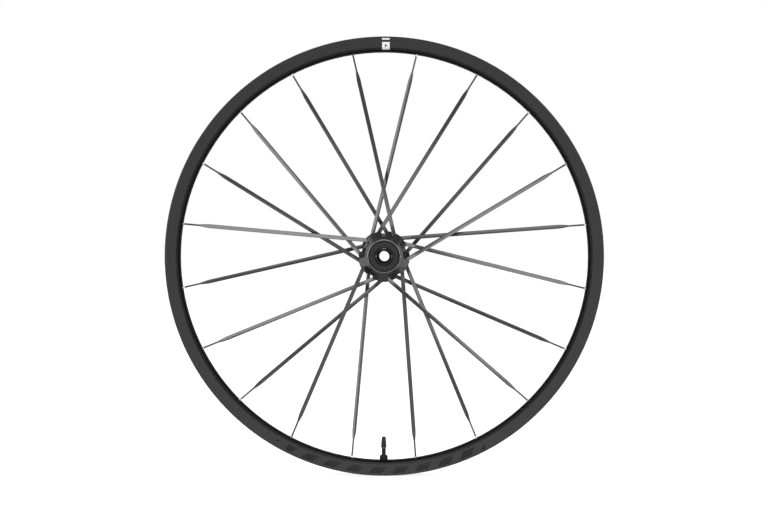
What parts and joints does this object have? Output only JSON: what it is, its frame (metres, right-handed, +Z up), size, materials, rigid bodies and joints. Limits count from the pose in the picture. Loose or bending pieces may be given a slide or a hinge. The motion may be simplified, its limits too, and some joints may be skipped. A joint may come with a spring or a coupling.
{
  "type": "bicycle front wheel",
  "caption": "Spoked front bicycle wheel for a disc brake: hollow hookless rim, bladed straight-pull spokes, lobed hub on sealed bearings with a thru-axle bore, and a tubeless valve.",
  "frame": {"origin": "centre of the wheel, on the axle's axis and in the rim's middle plane", "axes": "+Y along the axle from the right side to the left (brake) side, +Z up with the valve at the bottom, +X to the right as seen from the right side"},
  "size_m": [0.633, 0.11, 0.633],
  "materials": {
    "carbon_rim": "satin clear-coated carbon fibre, dark grey",
    "rim_tape": "thin black film",
    "spoke_black": "semi-gloss black composite",
    "nipple_silver": "plain turned alloy",
    "hub_anodised": "satin black anodised",
    "axle_alloy": "plain turned alloy",
    "bearing_steel": "ground bearing steel",
    "cage_plastic": "natural nylon",
    "rubber_black": "matt black rubber",
    "cover_black": "satin black anodised",
    "end_cap_black": "black anodised",
    "valve_black": "black anodised",
    "valve_metal": "nickel-plated brass",
    "valve_cap_black": "black moulded plastic"
  },
  "bodies": {
    "axle": {"axle": "axle_alloy", "end_cap_right": "end_cap_black", "dust_cover_right": "cover_black", "bearing_inner_race_right": "bearing_steel", "end_cap_left": "end_cap_black", "dust_cover_left": "cover_black", "bearing_inner_race_left": "bearing_steel"},
    "wheel": {"rim": "carbon_rim", "rim_tape": "rim_tape", "hub_shell": "hub_anodised", "spoke_right_01": "spoke_black", "spoke_right_02": "spoke_black", "spoke_right_03": "spoke_black", "spoke_right_04": "spoke_black", "spoke_right_05": "spoke_black", "spoke_right_06": "spoke_black", "spoke_right_07": "spoke_black", "spoke_right_08": "spoke_black", "spoke_right_09": "spoke_black", "spoke_right_10": "spoke_black", "spoke_left_01": "spoke_black", "spoke_left_02": "spoke_black", "spoke_left_03": "spoke_black", "spoke_left_04": "spoke_black", "spoke_left_05": "spoke_black", "spoke_left_06": "spoke_black", "spoke_left_07": "spoke_black", "spoke_left_08": "spoke_black", "spoke_left_09": "spoke_black", "spoke_left_10": "spoke_black", "nipples_right": "nipple_silver", "bearing_outer_race_right": "bearing_steel", "bearing_seals_right": "rubber_black", "nipples_left": "nipple_silver", "bearing_outer_race_left": "bearing_steel", "bearing_seals_left": "rubber_black", "valve_stem": "valve_black", "valve_base": "rubber_black", "valve_o_ring": "rubber_black", "valve_nut": "valve_black", "valve_core": "valve_metal", "valve_pin": "valve_metal"},
    "ball_ring_right": {"bearing_balls_right": "bearing_steel", "bearing_cage_right": "cage_plastic"},
    "ball_ring_left": {"bearing_balls_left": "bearing_steel", "bearing_cage_left": "cage_plastic"},
    "valve_core_nut": {"valve_core_nut": "valve_metal"},
    "valve_cap": {"valve_cap": "valve_cap_black"}
  },
  "joints": [
    {"name": "wheel_spin", "type": "hinge", "parent": "axle", "child": "wheel", "pos_m": [0, 0, 0], "axis": [0, 1, 0], "continuous": true},
    {"name": "ball_ring_right_spin", "type": "hinge", "parent": "axle", "child": "ball_ring_right", "pos_m": [0, -0.0365, 0], "axis": [0, 1, 0], "continuous": true},
    {"name": "ball_ring_left_spin", "type": "hinge", "parent": "axle", "child": "ball_ring_left", "pos_m": [0, 0.0415, 0], "axis": [0, 1, 0], "continuous": true},
    {"name": "valve_core_nut_unscrew", "type": "slide", "parent": "wheel", "child": "valve_core_nut", "axis": [0, 0, 1], "range_m": [0, 0.002]},
    {"name": "valve_cap_unscrew", "type": "slide", "parent": "wheel", "child": "valve_cap", "axis": [0, 0, 1], "range_m": [0, 0.022]}
  ],
  "couplings": [
    {"joint": "ball_ring_right_spin", "follows": "wheel_spin", "ratio": 0.58447},
    {"joint": "ball_ring_left_spin", "follows": "wheel_spin", "ratio": 0.58447}
  ]
}
